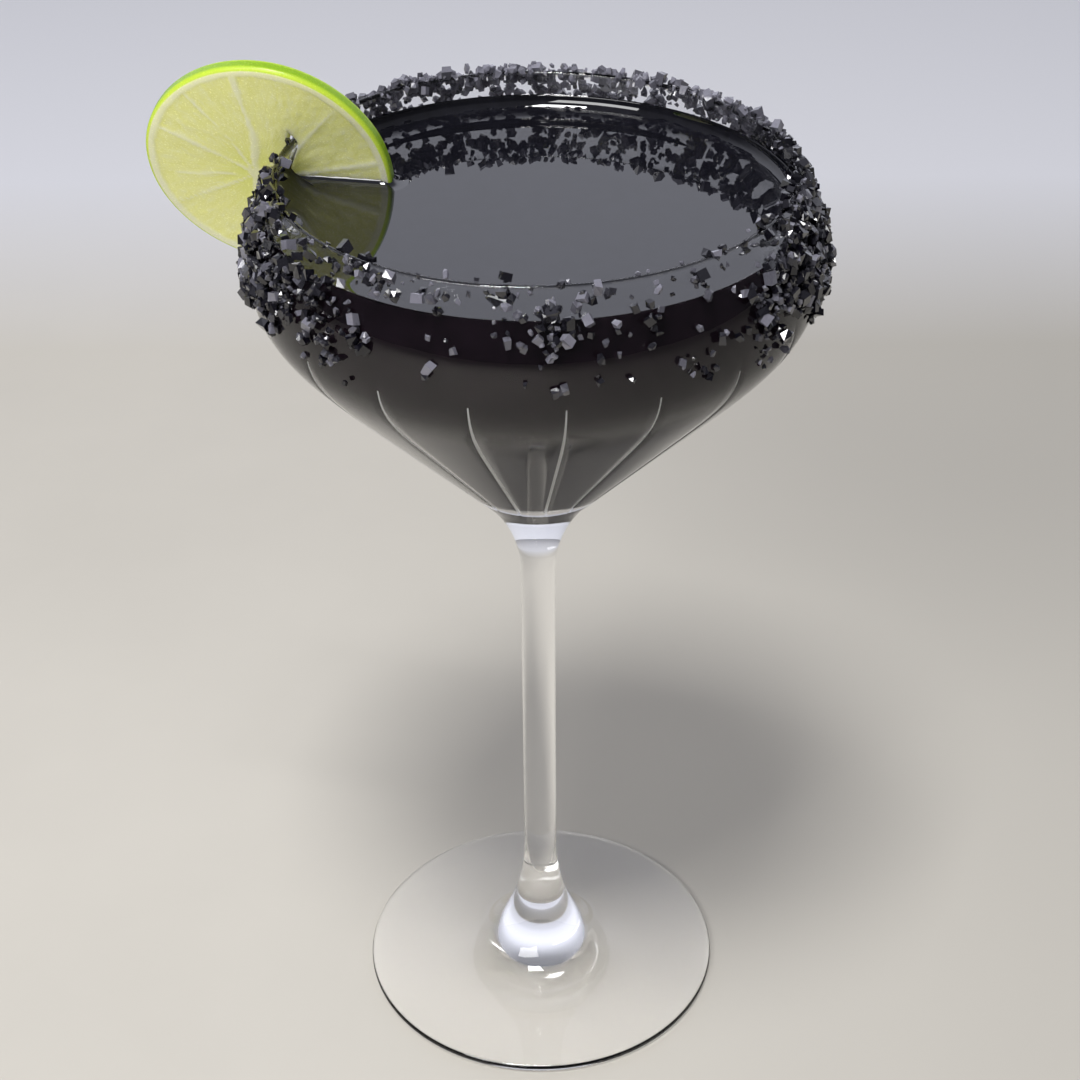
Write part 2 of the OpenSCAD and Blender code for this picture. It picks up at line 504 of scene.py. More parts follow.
@dataclass(frozen=True)
class LimeFlesh:
    """A cut lime: juicy segments between pale membranes, a pith ring and a green rind."""

    thick: float = 2.8
    pulp: Colour = (0.94, 0.93, 0.43)
    pulp_deep: Colour = (0.86, 0.86, 0.33)
    heart: Colour = (0.87, 0.93, 0.24)
    heart_from: float = 11.0
    heart_full: float = 1.0
    heart_share: float = 0.75
    pale: Colour = (0.98, 0.99, 0.66)
    light_rind: Colour = (0.66, 0.84, 0.09)
    green: Colour = (0.36, 0.58, 0.025)
    green_dark: Colour = (0.15, 0.28, 0.01)
    sac_long: float = 0.16
    sac_wide: float = 7.0
    pore_scale: float = 900.0
    index: float = 1.38
    clearness: float = 0.15
    glow_depth: float = 0.0025
    glow_colour: Colour = (1.0, 1.0, 0.6)
    bump_share: float = 0.22
    bump_height: float = 0.0003

    def flesh(self, paint: Painter, reach: Socket, fibre: Socket, cloud: Socket) -> Socket:
        """The pulp's colour, greener toward the middle.

        Args:
            paint: the material's maker.
            reach: distance from the middle of the fruit.
            fibre: the streaks of the juice sacs.
            cloud: soft unevenness.

        Returns:
            The colour.
        """
        juice = paint.math("MULTIPLY_ADD", fibre, 0.6, paint.math("MULTIPLY", cloud, 0.4))
        pulp = paint.ramp(juice, [(0.30, self.pulp_deep), (0.50, self.pulp), (0.72, self.pale)])
        inward = paint.between(reach, self.heart_from, self.heart_full, self.heart_share)
        return paint.mix(inward, pulp, self.heart)

    def skin(self, paint: Painter, depth: Socket) -> Socket:
        """The rind's colour, with fine pores, lighter toward its two cut edges.

        Args:
            paint: the material's maker.
            depth: distance from the wheel's middle plane.

        Returns:
            The colour.
        """
        pores = paint.node("ShaderNodeTexVoronoi", {"Scale": self.pore_scale, "Randomness": 0.9})
        skin = paint.mix(paint.math("MULTIPLY", pores.outputs["Distance"], 1.1, clamp=True),
                         self.green_dark, self.green)
        edge = paint.between(paint.math("ABSOLUTE", depth), self.thick * 0.18, self.thick * 0.50)
        return paint.mix(edge, skin, self.light_rind)

    def make(self) -> bpy.types.Material:
        """Makes the finish.

        Returns:
            Its material.
        """
        paint = Painter("lime_flesh")
        place = paint.node("ShaderNodeAttribute", attribute_name="slice")
        split = paint.node("ShaderNodeSeparateXYZ", {"Vector": place.outputs["Vector"]})
        reach, turn, depth = split.outputs["X"], split.outputs["Y"], split.outputs["Z"]
        sacs = paint.node("ShaderNodeCombineXYZ", {"X": paint.math("MULTIPLY", reach, self.sac_long),
                                                   "Y": paint.math("MULTIPLY", turn, self.sac_wide)})
        fibre = paint.node("ShaderNodeTexNoise", {"Vector": sacs.outputs[0], "Scale": 2.2, "Detail": 5.0,
                                                  "Roughness": 0.6, "Distortion": 0.4}).outputs["Fac"]
        cells = paint.node("ShaderNodeTexVoronoi",
                           {"Vector": sacs.outputs[0], "Scale": 1.7, "Randomness": 1.0},
                           feature="SMOOTH_F1")
        cloud = paint.node("ShaderNodeTexNoise",
                           {"Scale": 130.0, "Detail": 4.0, "Roughness": 0.6}).outputs["Fac"]
        streak = paint.math("MAXIMUM", paint.mask("membrane"), paint.mask("pith"), clamp=True)
        cut = paint.mix(streak, self.flesh(paint, reach, fibre, cloud), self.pale)
        colour = paint.mix(paint.mask("rind"), cut, self.skin(paint, depth))
        shine = paint.math("MULTIPLY_ADD", cloud, 0.25, 0.12)
        paint.set(Base_Color=colour, Roughness=shine, IOR=self.index, Transmission_Weight=self.clearness)
        paint.set(Subsurface_Weight=1.0, Subsurface_Radius=self.glow_colour,
                  Subsurface_Scale=self.glow_depth)
        relief = paint.math("MULTIPLY_ADD", cells.outputs["Distance"], 0.5, fibre)
        paint.bump(relief, self.bump_share, self.bump_height)
        return paint.material


@dataclass(frozen=True)
class PaleFloor:
    """A plain pale floor, a little cooler and lighter far behind, with painted shade darkening it toward the
    right.
    """

    near: Colour = (0.54, 0.511, 0.454)
    far: Colour = (0.65, 0.65, 0.68)
    far_span: Span = (0.27, 0.40)
    cloud_share: float = 0.93
    # painted shade: the share of the floor colour kept at the right, standing in for light that falls off
    # there
    painted_shade_right: float = 0.79
    painted_shade_span: Span = (-0.06, 0.16)
    roughness: float = 0.75

    def make(self) -> bpy.types.Material:
        """Makes the finish.

        Returns:
            Its material.
        """
        paint = Painter("pale_floor")
        place = paint.node("ShaderNodeTexCoord").outputs["Object"]
        split = paint.node("ShaderNodeSeparateXYZ", {"Vector": place})
        cloud = paint.node("ShaderNodeTexNoise",
                           {"Vector": place, "Scale": 9.0, "Detail": 5.0, "Roughness": 0.55})
        near = paint.ramp(cloud.outputs["Fac"],
                          [(0.3, shade(self.near, self.cloud_share)), (0.7, self.near)])
        # painted shade: the floor colour darkens toward +X
        near = paint.mix(paint.between(split.outputs["X"], *self.painted_shade_span), near,
                         shade(self.near, self.painted_shade_right))
        back = paint.between(split.outputs["Y"], *self.far_span)
        paint.set(Base_Color=paint.mix(back, near, self.far), Roughness=self.roughness)
        return paint.material


# ---------------------------------------------------------------- the glass's shape

@dataclass
class CoupeShape:
    """Sizes of the coupe, in millimetres, and the curves that follow from them."""

    height: float = 180.0
    foot_r: float = 36.15
    foot_edge: float = 1.6
    foot_pull: tuple[Point2, Point2] = ((28.0, 2.4), (20.5, 2.7))
    flare: Point2 = (14.6, 4.2)
    flare_pull: tuple[Point2, Point2] = ((10.0, 5.6), (4.9, 11.0))
    stem_r: float = 3.3
    stem_z: float = 27.0
    neck_z: float = 98.0
    neck_pull: float = 7.5
    neck_lead: float = 3.3
    cone_z: float = 115.0
    cone_r: float = 10.35
    cone_slope: float = 0.95
    shoulder_z: float = 140.0
    shoulder_pull: float = 12.2
    belly_z: float = 163.5
    belly_r: float = 49.5
    belly_pull: float = 7.5
    incurve_pull: float = 6.0
    rim_pull: Point2 = (2.5, 4.8)
    rim_r: float = 44.65
    rim_wall: float = 1.1
    bowl_wall: float = 1.6
    bottom_z: float = 118.9
    bottom_r: float = 11.0
    bottom_rise: float = 0.9
    bottom_lift: float = 5.0
    bottom_knee: float = 0.32

    def bead_z(self) -> float:
        """Height of the middle of the rounded rim."""
        return self.height - self.rim_wall / 2

    def foot_curve(self) -> list[Point2]:
        """Outside from the middle of the underside to the top of the neck.

        Returns:
            Points (radius, height), in millimetres.
        """
        half = self.foot_edge / 2
        edge = [(self.foot_r - half + half * math.cos(a), half + half * math.sin(a))
                for a in np.linspace(-math.pi / 2, math.pi / 2, 13)]
        under = [(0.0, 0.0)] + [(r, 0.0) for r in np.linspace(4.0, self.foot_r - half - 0.6, 8)]
        top = bezier([(self.foot_r - half, self.foot_edge), *self.foot_pull, self.flare], 14)
        trumpet = bezier([self.flare, *self.flare_pull, (self.stem_r, self.stem_z)], 24)
        stem = [(self.stem_r, z) for z in np.linspace(self.stem_z, self.neck_z, 12)]
        lead = self.neck_lead
        neck = bezier([(self.stem_r, self.neck_z), (self.stem_r, self.neck_z + self.neck_pull),
                       (self.cone_r - lead * self.cone_slope, self.cone_z - lead),
                       (self.cone_r, self.cone_z)], 18)
        return under + edge + top[1:] + trumpet[1:] + stem[1:] + neck[1:]

    def bowl_curve(self) -> list[Point2]:
        """Outside of the bowl from the neck up to the rim.

        Returns:
            Points (radius, height), in millimetres.
        """
        shoulder_r = self.cone_r + self.cone_slope * (self.shoulder_z - self.cone_z)
        cone = [(self.cone_r + self.cone_slope * (z - self.cone_z), z)
                for z in np.linspace(self.cone_z, self.shoulder_z, 21)]
        pull = self.shoulder_pull
        shoulder = bezier([(shoulder_r, self.shoulder_z),
                           (shoulder_r + pull * self.cone_slope, self.shoulder_z + pull),
                           (self.belly_r, self.belly_z - self.belly_pull), (self.belly_r, self.belly_z)], 24)
        incurve = bezier([(self.belly_r, self.belly_z), (self.belly_r, self.belly_z + self.incurve_pull),
                          (self.rim_r + self.rim_pull[0], self.bead_z() - self.rim_pull[1]),
                          (self.rim_r, self.bead_z())], 16)
        return cone + shoulder[1:] + incurve[1:]

    def wall_at(self, z: float) -> float:
        """Wall thickness at a height."""
        rise = (z - self.shoulder_z) / (self.height - self.shoulder_z)
        return self.bowl_wall + (self.rim_wall - self.bowl_wall) * min(1.0, max(0.0, rise))

    def inner_curve(self, extra: float = 0.0) -> list[Point2]:
        """Inside of the bowl, from the middle of its bottom up to the rim.

        Args:
            extra: how far the curve is pushed out into the glass.

        Returns:
            Points (radius, height), in millimetres.
        """
        outside = np.array(self.bowl_curve())
        along = np.gradient(outside, axis=0)
        along /= np.linalg.norm(along, axis=1)[:, None]
        depth = np.array([self.wall_at(z) - extra for z in outside[:, 1]])
        inside = outside + np.stack([-along[:, 1] * depth, along[:, 0] * depth], 1)
        keep = [(float(r), float(z)) for r, z in inside
                if self.bottom_z + self.bottom_lift < z < self.bead_z() - 0.5]
        start = keep[0]
        low = self.bottom_z - extra
        bend = self.bottom_lift * self.bottom_knee
        knee = (start[0] - bend * self.cone_slope, start[1] - bend)
        bottom = bezier([(0.0, low), (self.bottom_r, low + self.bottom_rise), knee, start], 24)
        return bottom + keep[1:] + [(self.rim_r - self.rim_wall + extra, self.bead_z())]

    def bead_curve(self) -> list[Point2]:
        """The rounded rim, from outside to inside.

        Returns:
            Points (radius, height), in millimetres.
        """
        half = self.rim_wall / 2
        return [(self.rim_r - half + half * math.cos(a), self.bead_z() + half * math.sin(a))
                for a in np.linspace(0, math.pi, 11)]

    def outer_r(self, z: float) -> float:
        """Outside radius of the bowl at a height."""
        curve = np.array(self.bowl_curve())
        return float(np.interp(z, curve[:, 1], curve[:, 0]))

    def inner_r(self, z: float) -> float:
        """Inside radius of the bowl at a height."""
        curve = np.array(self.inner_curve())
        return float(np.interp(z, curve[:, 1], curve[:, 0]))


LINE_SPAN = 4.0  # columns across one cut line
LINE_MIDDLE = 2.0  # the column at its deepest
GROUND_FROM = 0.12  # share of full depth from which the line is matt
ACCENT_FROM = 0.62  # a face takes the accent finish when its points' mean is past this
THINNEST_LINE = 0.35  # the line's width where it fades out, against its full width
WHOLE_GUARD = 0.25  # keeps a whole number from rounding down


def revolve_tree() -> bpy.types.GeometryNodeTree:
    """The tree that turns a profile round the Z axis and sinks fine cut lines into it.

    Returns:
        A tree whose geometry input is a chain of profile points, with the attributes cut and skin.
    """
    make = TreeMaker("turned_shape")
    rows = make.add_input("Rows", "NodeSocketInt")
    sectors = make.add_input("Lines", "NodeSocketInt")
    columns = make.add_input("Columns per line", "NodeSocketInt")
    half_width = make.add_input("Line half width", "NodeSocketFloat")
    depth = make.add_input("Line depth", "NodeSocketFloat")
    turn = make.add_input("Turn", "NodeSocketFloat")
    body = make.add_input("Body finish", "NodeSocketMaterial")
    accent = make.add_input("Accent finish", "NodeSocketMaterial")

    count = make.math("ADD", make.math("MULTIPLY", sectors, columns), 1.0)
    grid = make.node("GeometryNodeMeshGrid", {"Size X": 1.0, "Size Y": 1.0,
                                              "Vertices X": count, "Vertices Y": rows})
    index = make.node("GeometryNodeInputIndex").outputs[0]
    column = make.math("FLOOR", make.math("DIVIDE", make.math("ADD", index, WHOLE_GUARD), rows))
    row = make.math("SUBTRACT", index, make.math("MULTIPLY", column, rows))
    sector = make.math("FLOOR", make.math("DIVIDE", make.math("ADD", column, WHOLE_GUARD), columns))
    place = make.math("SUBTRACT", column, make.math("MULTIPLY", sector, columns))

    profile = make.inlet.outputs["Geometry"]
    position = make.node("GeometryNodeInputPosition").outputs[0]
    spot = make.node("GeometryNodeSampleIndex", {"Geometry": profile, "Index": row},
                     data_type="FLOAT_VECTOR")
    make.feed(spot.inputs["Value"], position)
    split = make.node("ShaderNodeSeparateXYZ", {"Vector": spot.outputs[0]})
    radius, height = split.outputs["X"], split.outputs["Z"]
    marks = {}
    for name in ("cut", "skin"):
        read = make.node("GeometryNodeInputNamedAttribute", {"Name": name}, data_type="FLOAT")
        mark = make.node("GeometryNodeSampleIndex", {"Geometry": profile, "Index": row}, data_type="FLOAT")
        make.feed(mark.inputs["Value"], read.outputs["Attribute"])
        marks[name] = mark.outputs[0]

    wedge = make.math("DIVIDE", 2 * math.pi, sectors)
    thinned = make.math("MULTIPLY", half_width, make.math(
        "MULTIPLY_ADD", marks["cut"], 1.0 - THINNEST_LINE, THINNEST_LINE))
    half = make.math("MINIMUM", make.math("DIVIDE", thinned, make.math("MAXIMUM", radius, 1e-5)),
                     make.math("MULTIPLY", wedge, 0.2))
    in_line = make.math("MULTIPLY", make.math("SUBTRACT", place, LINE_MIDDLE),
                        make.math("MULTIPLY", half, 0.5))
    rest = make.math("DIVIDE", make.math("SUBTRACT", place, LINE_SPAN),
                     make.math("SUBTRACT", columns, LINE_SPAN))
    between = make.math("ADD", half, make.math("MULTIPLY", rest, make.math(
        "SUBTRACT", wedge, make.math("MULTIPLY", half, 2.0))))
    is_line = make.math("LESS_THAN", place, LINE_SPAN + 0.5)
    swing = make.math("ADD", make.math("MULTIPLY", is_line, in_line),
                      make.math("MULTIPLY", make.math("SUBTRACT", 1.0, is_line), between))
    angle = make.math("ADD", make.math("ADD", turn, make.math("MULTIPLY", sector, wedge)), swing)

    off = make.math("MULTIPLY", make.math("SUBTRACT", place, LINE_MIDDLE), 0.5)
    bowl = make.math("MAXIMUM", make.math("SUBTRACT", 1.0, make.math("MULTIPLY", off, off)), 0.0)
    groove = make.math("MULTIPLY", bowl, marks["cut"])
    sunk = make.math("SUBTRACT", radius, make.math("MULTIPLY", groove, depth))
    where = make.node("ShaderNodeCombineXYZ", {"X": make.math("MULTIPLY", sunk, make.math("COSINE", angle)),
                                               "Y": make.math("MULTIPLY", sunk, make.math("SINE", angle)),
                                               "Z": height})
    moved = make.node("GeometryNodeSetPosition",
                      {"Geometry": grid.outputs["Mesh"], "Position": where.outputs[0]})
    ground = make.math("MULTIPLY", make.math("LESS_THAN", place, LINE_SPAN - 0.5),
                       make.math("GREATER_THAN", marks["cut"], GROUND_FROM))
    accent_mark = make.math("MAXIMUM", ground, marks["skin"])
    stored = make.node("GeometryNodeStoreNamedAttribute", {"Geometry": moved.outputs[0], "Name": "accent"},
                       data_type="FLOAT", domain="POINT")
    make.feed(stored.inputs["Value"], accent_mark)
    welded = make.node("GeometryNodeMergeByDistance", {"Geometry": stored.outputs[0], "Distance": WELD})
    based = make.node("GeometryNodeSetMaterial", {"Geometry": welded.outputs[0], "Material": body})
    read = make.node("GeometryNodeInputNamedAttribute", {"Name": "accent"}, data_type="FLOAT")
    chosen = make.math("GREATER_THAN", read.outputs["Attribute"], ACCENT_FROM)
    dressed = make.node("GeometryNodeSetMaterial", {"Geometry": based.outputs[0], "Selection": chosen,
                                                    "Material": accent})
    solid = make.node("GeometryNodeRealizeInstances", {"Geometry": dressed.outputs[0]})
    return make.finish(solid.outputs[0])


@dataclass
class TurnedPiece:
    """A shape turned on the Z axis by the node tree."""

    lines: int = 20
    columns: int = 12
    line_width: float = 0.75
    line_depth: float = 0.22
    turn_deg: float = -84.5

    def build(self, name: str, profile: list[Point2], cut: list[float], skin: list[float],
              finishes: tuple[bpy.types.Material, bpy.types.Material]) -> bpy.types.Object:
        """Turns a profile into a closed piece.

        Args:
            name: name of the piece.
            profile: points (radius, height) from pole to pole, in millimetres.
            cut: how deep the lines are at each point, 0 to 1.
            skin: 1 where the accent finish goes all round, else 0.
            finishes: the body's finish and the accent's.

        Returns:
            The piece, with its faces outward.
        """
        host = bpy.data.meshes.new(name + "_profile")
        host.from_pydata([(r * MM, 0.0, z * MM) for r, z in profile], [], [])
        set_floats(host, "cut", cut)
        set_floats(host, "skin", skin)
        piece = run_tree(name, host, revolve_tree(), {
            "Rows": len(profile), "Lines": self.lines, "Columns per line": self.columns,
            "Line half width": self.line_width / 2 * MM, "Line depth": self.line_depth * MM,
            "Turn": math.radians(self.turn_deg), "Body finish": finishes[0], "Accent finish": finishes[1]})
        face_outward(piece.data)
        smooth_faces(piece.data)
        return piece


@dataclass
class CoupeGlass:
    """The stemmed glass, in one piece, with fine lines cut down the outside of its bowl."""

    shape: CoupeShape = field(default_factory=CoupeShape)
    line_low: float = 119.8
    line_top: float = 164.5
    line_fade: float = 16.0
    line_start: Point2 = (-0.4, 0.6)

    def build(self) -> bpy.types.Object:
        """Makes the glass and dresses it.

        Returns:
            The piece.
        """
        foot = self.shape.foot_curve()
        bowl = self.shape.bowl_curve()
        inside = self.shape.inner_curve()
        profile = foot + bowl[1:] + self.shape.bead_curve()[1:] + inside[::-1][1:]
        cut = [0.0] * len(foot)
        for _, z in bowl[1:]:
            cut.append(smoothstep(self.line_low + self.line_start[0], self.line_low + self.line_start[1], z)
                       * (1.0 - smoothstep(self.line_top - self.line_fade, self.line_top, z)))
        cut += [0.0] * (len(profile) - len(cut))
        piece = TurnedPiece().build("coupe_glass", profile, cut, [0.0] * len(profile),
                                    (ClearGlass().make(), CutGlass().make()))
        hand_over(piece, "glass", "glass")
        return piece


# ---------------------------------------------------------------- the lime wheel

class Half(Enum):
    """The two halves of the wheel beside its slit."""

    OUTER = -1
    INNER = 1


@dataclass
class LimeWheel:
    """A slice of lime, slit and pushed onto the rim, in its own flat frame and then stood in place."""

    shape: CoupeShape = field(default_factory=CoupeShape)
    radius: float = 22.45
    thick: float = 2.8
    centre: tuple[float, float, float] = (-47.0, 17.5, 173.0)
    lean_deg: float = 16.7
    turn_deg: float = 10.5
    rows: int = 150
    columns: int = 64
    segments: int = 11
    slit_top: float = 7.2
    slit_close: float = 2.4
    spread: float = 2.45
    edge_r: float = 0.75
    edge_steps: int = 6
    tip_angle: float = 0.012
    wall_gap: float = 0.7
    wall_reach: float = 0.1
    spread_fade: float = 9.0
    fruit_off: float = 0.9
    pith_in: Span = (2.2, 1.5)
    rind_in: Span = (0.75, 0.5)

    def pose(self) -> Matrix:
        """The wheel's place: its own X to the right, Y up the wheel, Z out of its front face.

        Returns:
            The move from the wheel's frame to the glass's, in millimetres.
        """
        turn = Matrix.Rotation(math.radians(-self.turn_deg), 4, "Z")
        lean = Matrix.Rotation(math.radians(90 + self.lean_deg), 4, "X")
        return Matrix.Translation(self.centre) @ turn @ lean

    def wall_x(self, y: float, outside: bool) -> float:
        """Where the glass wall crosses the wheel's middle plane.

        Args:
            y: height on the wheel.
            outside: whether the outside of the wall is meant.

        Returns:
            The place to the right of the wheel's middle, in millimetres.
        """
        pose = self.pose()
        low, high = -12.0, 16.0
        for _ in range(26):
            middle = (low + high) / 2
            spot = pose @ Vector((middle, y, 0.0))
            z = min(spot.z, self.shape.bead_z())
            if outside:
                limit = self.shape.outer_r(z) + self.wall_gap
            else:
                limit = self.shape.inner_r(z) - self.wall_reach
            if math.hypot(spot.x, spot.y) > limit:
                low = middle
            else:
                high = middle
        return (low + high) / 2

    def slit_edge(self, y: float, half: Half) -> float:
        """The slit's edge on one half: along the wall, then drawn in to close.

        Args:
            y: height on the wheel.
            half: which side of the slit.

        Returns:
            The place to the right of the wheel's middle, in millimetres.
        """
        outside = half is Half.OUTER
        if y <= self.slit_top:
            return self.wall_x(y, outside)
        base = self.wall_x(self.slit_top, outside)
        end = self.wall_x(self.slit_top, False) * 0.5 + self.wall_x(self.slit_top, True) * 0.5
        close = smoothstep(self.slit_top, self.slit_top + self.slit_close, y)
        fade = max(0.0, (self.radius - y) / (self.radius - self.slit_top))
        return (base * (1 - close) + end * close) * fade ** 0.6

    def openness(self, y: float) -> float:
        """How far the slit stands open at a height on the wheel, 0 to 1."""
        return 1.0 - smoothstep(-1.0, self.slit_top + self.slit_close, y)

    def flesh_place(self, x: float, y: float, half: Half) -> Point2:
        """Where a point of the pushed-apart wheel was before the slit was opened.

        Args:
            x: place to the right of the wheel's middle.
            y: height on the wheel.
            half: which side of the slit.

        Returns:
            The point's place in the whole fruit.
        """
        opened = self.spread * self.openness(y)
        middle = -self.spread if half is Half.OUTER else self.spread
        return x - half.value * opened * math.exp(-abs(x - middle) / self.spread_fade), y + self.fruit_off

    def membrane(self, reach: float, turn: float) -> float:
        """How much a point belongs to a membrane between two segments.

        Args:
            reach: distance from the middle of the fruit.
            turn: angle round it.

        Returns:
            0 in the pulp to 1 in a membrane or the core.
        """
        warped = turn + 0.16 * math.sin(2 * turn + 0.6) + 0.10 * math.sin(5 * turn + 1.9)
        part = (warped / (2 * math.pi) * self.segments + 0.35) % 1.0
        gap = min(part, 1.0 - part) * 2 * math.pi / self.segments * reach
        width = 0.42 + 0.16 * math.sin(3 * turn + reach * 0.4)
        core = 1.0 - smoothstep(0.9, 1.9, reach)
        return max(core, 1.0 - smoothstep(width * 0.45, width, gap))

    def bend(self, y: float, half: Half) -> float:
        """How far the wheel is bowed forward at a height on it, in millimetres."""
        return 0.35 * math.sin(y * 0.11 + 0.8) + 0.25 * half.value * self.openness(y)

    def half_thick(self, away: float) -> float:
        """Half the wheel's thickness at a distance from its middle: full, then rounded off at the rind."""
        over = min(1.0, max(0.0, (away - self.radius + self.edge_r) / self.edge_r))
        return self.thick / 2 - self.edge_r * (1.0 - math.sqrt(1.0 - over * over))

    def relief(self, reach: float, turn: float, wall: float, pith: float) -> float:
        """Height of the cut face over flat: plump juice sacs below the membranes.

        Args:
            reach: distance from the middle of the fruit.
            turn: angle round it.
            wall: how much the point is a membrane.
            pith: how much it is pith.

        Returns:
            The height, in millimetres.
        """
        sac = wave(reach * 0.3, math.cos(turn) * 9, math.sin(turn) * 9)
        fine = wave(reach * 0.9, math.cos(turn) * 26, math.sin(turn) * 26)
        flesh = -0.16 + 0.10 * sac + 0.05 * fine
        return flesh * (1.0 - max(wall, pith)) + 0.03 * fine

    def half_mesh(self, half: Half) -> tuple[np.ndarray, list[tuple[int, ...]], dict[str, list]]:
        """One half of the wheel as a closed shell.

        Args:
            half: which side of the slit.

        Returns:
            Points in the wheel's frame, faces, and the masks at each point.
        """
        levels = [self.radius * math.sin(a)
                  for a in np.linspace(-math.pi / 2, math.pi / 2 - self.tip_angle, self.rows)]
        spread = 1.0 - (1.0 - np.linspace(0, 1, self.columns)) ** 1.35
        thick = self.thick / 2
        points: list[tuple[float, float, float]] = []
        masks: dict[str, list] = {"slice": [], "membrane": [], "pith": [], "rind": []}
        rings: list[list[int]] = []
        for y in levels:
            chord = math.sqrt(max(0.0, self.radius ** 2 - y * y))
            inner = self.slit_edge(y, half)
            outer = half.value * chord
            if half is Half.OUTER:
                inner = min(inner, chord)
            elif inner > chord - 0.05:
                continue
            flat = outer - half.value * min(self.edge_r, abs(outer - inner))
            ring: list[int] = []
            arc = [(flat + (outer - flat) * math.sin(a), thick)
                   for a in np.linspace(0.0, math.pi / 2, self.edge_steps)[1:]]
            front = [(inner + (flat - inner) * t, thick) for t in spread]
            back = [(x, -z) for x, z in reversed(front + arc)]
            for x, face in front + arc + back:
                z = math.copysign(self.half_thick(math.hypot(x, y)), face)
                mx, my = self.flesh_place(x, y, half)
                reach, turn = math.hypot(mx, my), math.atan2(my, mx)
                limit = math.hypot(x, y)
                side = 1.0 if z > 0 else -1.0
                wall = self.membrane(reach, turn)
                pith = smoothstep(self.radius - self.pith_in[0], self.radius - self.pith_in[1],
                                  limit + 0.25 * wave(turn * 6, 0.3, side))
                rind = smoothstep(self.radius - self.rind_in[0], self.radius - self.rind_in[1], limit)
                lift = self.relief(reach, turn + 7.0 * side, wall, pith) * (1.0 - rind)
                flatness = abs(z) / thick
                points.append((x, y, z + side * lift * flatness + self.bend(y, half)))
                masks["slice"].append((reach, turn, z))
                masks["membrane"].append(wall * 0.85)
                masks["pith"].append(pith)
                masks["rind"].append(rind)
                ring.append(len(points) - 1)
            rings.append(ring)
        faces: list[tuple[int, ...]] = []
        size = len(rings[0])
        for low, high in zip(rings[:-1], rings[1:]):
            joined = points[low[0]][1] >= self.slit_top + self.slit_close
            for i in range(size - 1 if joined else size):
                j = (i + 1) % size
                faces.append((low[i], low[j], high[j], high[i]))
        faces += [tuple(rings[0][::-1]), tuple(rings[-1])]
        return np.array(points), faces, masks

    def build(self) -> bpy.types.Object:
        """Makes the wheel, stands it on the rim and dresses it.

        Returns:
            The piece.
        """
        points: list[np.ndarray] = []
        faces: list[tuple[int, ...]] = []
        masks: dict[str, list] = {"slice": [], "membrane": [], "pith": [], "rind": []}
        start = 0
        for half in Half:
            spots, quads, marks = self.half_mesh(half)
            points.append(spots)
            faces += [tuple(start + i for i in quad) for quad in quads]
            start += len(spots)
            for name, values in marks.items():
                masks[name] += values
        pose = self.pose()
        placed = np.array([tuple(pose @ Vector(p)) for p in np.concatenate(points)])
        mesh = mesh_from("lime_slice", placed, faces)
        for name in ("membrane", "pith", "rind"):
            set_floats(mesh, name, masks[name])
        layer = mesh.attributes.new("slice", "FLOAT_VECTOR", "POINT")
        layer.data.foreach_set("vector", np.array(masks["slice"], np.float32).ravel())
        face_outward(mesh)
        smooth_faces(mesh)
        piece = stand_up("lime_slice", mesh)
        mesh.materials.append(LimeFlesh(thick=self.thick).make())
        hand_over(piece, "lime", "lime_wheel")
        return piece


# ---------------------------------------------------------------- the drink

